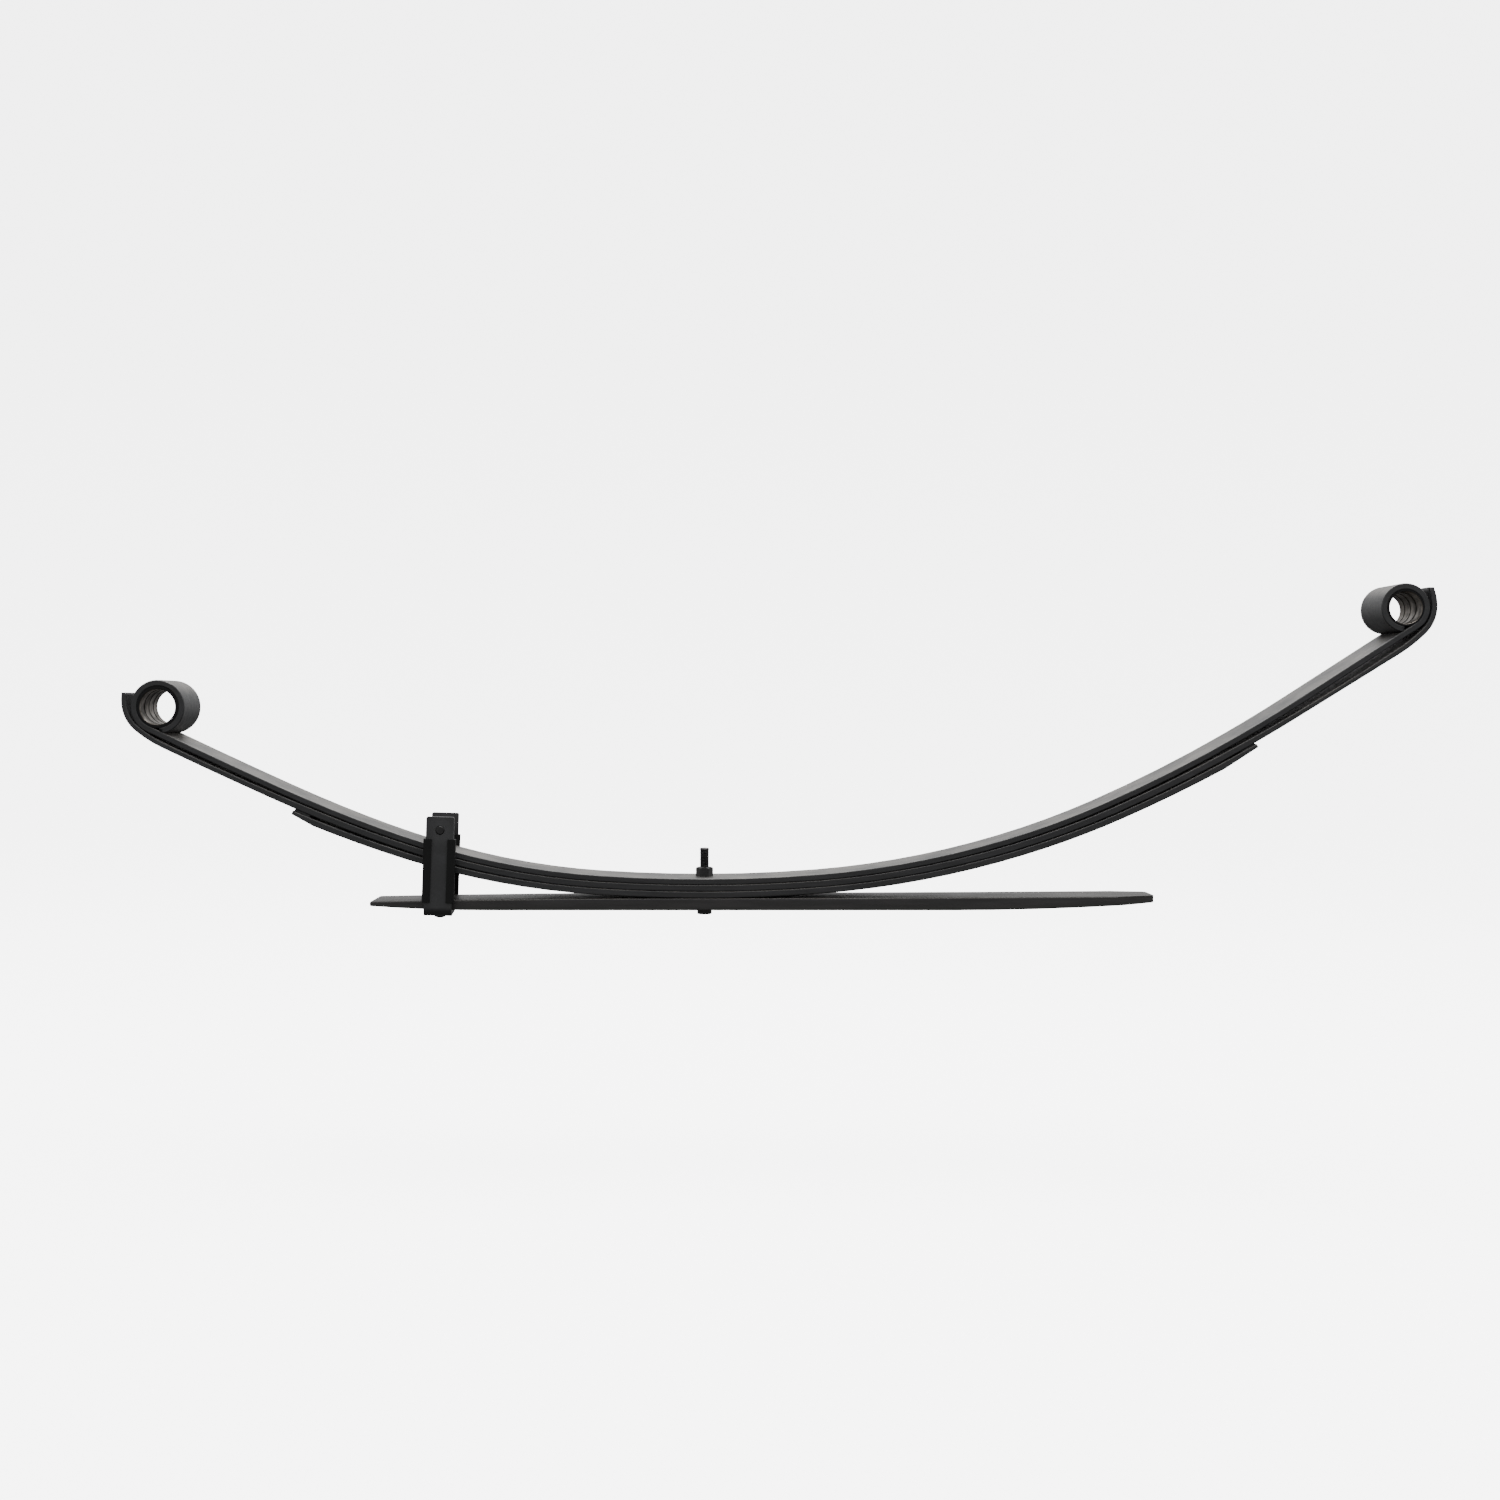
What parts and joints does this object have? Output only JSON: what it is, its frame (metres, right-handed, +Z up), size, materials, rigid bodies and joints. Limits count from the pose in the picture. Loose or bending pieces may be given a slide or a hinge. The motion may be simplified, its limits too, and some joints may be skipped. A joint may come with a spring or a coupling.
{
  "type": "leaf spring",
  "caption": "Bowed steel leaf spring pack with rolled eyes, wrapped second leaf, flat overload leaf, centre bolt and riveted rebound clip.",
  "frame": {"origin": "centre bolt axis at the seat plane, the flat underside of the overload leaf", "axes": "+X along the spring towards the long arm, +Y across the leaves, +Z up towards the nut"},
  "size_m": [1.3833, 0.0868, 0.3549],
  "materials": {
    "spring_steel": "satin dark shot-peened paint",
    "overload_steel": "satin dark paint",
    "sleeve_steel": "turned bare steel, dull",
    "clip_steel": "satin charcoal paint",
    "liner_plastic": "matte black moulded",
    "pad_plastic": "matte dark grey moulded",
    "fastener_steel": "black oxide"
  },
  "bodies": {
    "root": {"main_leaf": "spring_steel", "second_leaf": "spring_steel", "third_leaf": "spring_steel", "overload_leaf": "overload_steel", "short_arm_tip_pad": "pad_plastic", "long_arm_tip_pad": "pad_plastic", "centre_bolt": "fastener_steel", "centre_nut": "fastener_steel", "clip_rivet": "clip_steel"},
    "short_arm_end": {"short_arm_eye_sleeve": "sleeve_steel"},
    "long_arm_end": {"long_arm_eye_sleeve": "sleeve_steel"},
    "rebound_clip": {"rebound_clip_strap": "clip_steel", "front_clip_liner": "liner_plastic", "rear_clip_liner": "liner_plastic", "clip_cross_pin": "fastener_steel", "clip_spacer_tube": "clip_steel"}
  },
  "joints": [
    {"name": "short_arm_flex", "type": "hinge", "parent": "root", "child": "short_arm_end", "pos_m": [-0.181, 0, 0.042], "axis": [0, -1, 0], "range_deg": [-3, 12], "stiffness_Nm_per_rad": 3000, "deforming": ["main_leaf", "second_leaf", "third_leaf", "short_arm_tip_pad"]},
    {"name": "long_arm_flex", "type": "hinge", "parent": "root", "child": "long_arm_end", "pos_m": [0.222, 0, 0.048], "axis": [0, 1, 0], "range_deg": [-3, 12], "stiffness_Nm_per_rad": 2300, "deforming": ["main_leaf", "second_leaf", "third_leaf", "long_arm_tip_pad"]},
    {"name": "clip_swivel", "type": "hinge", "parent": "root", "child": "rebound_clip", "pos_m": [-0.282, 0, 0.0009], "axis": [0.0317, 0, 0.9995], "range_deg": [-9.9, 1.1]}
  ]
}
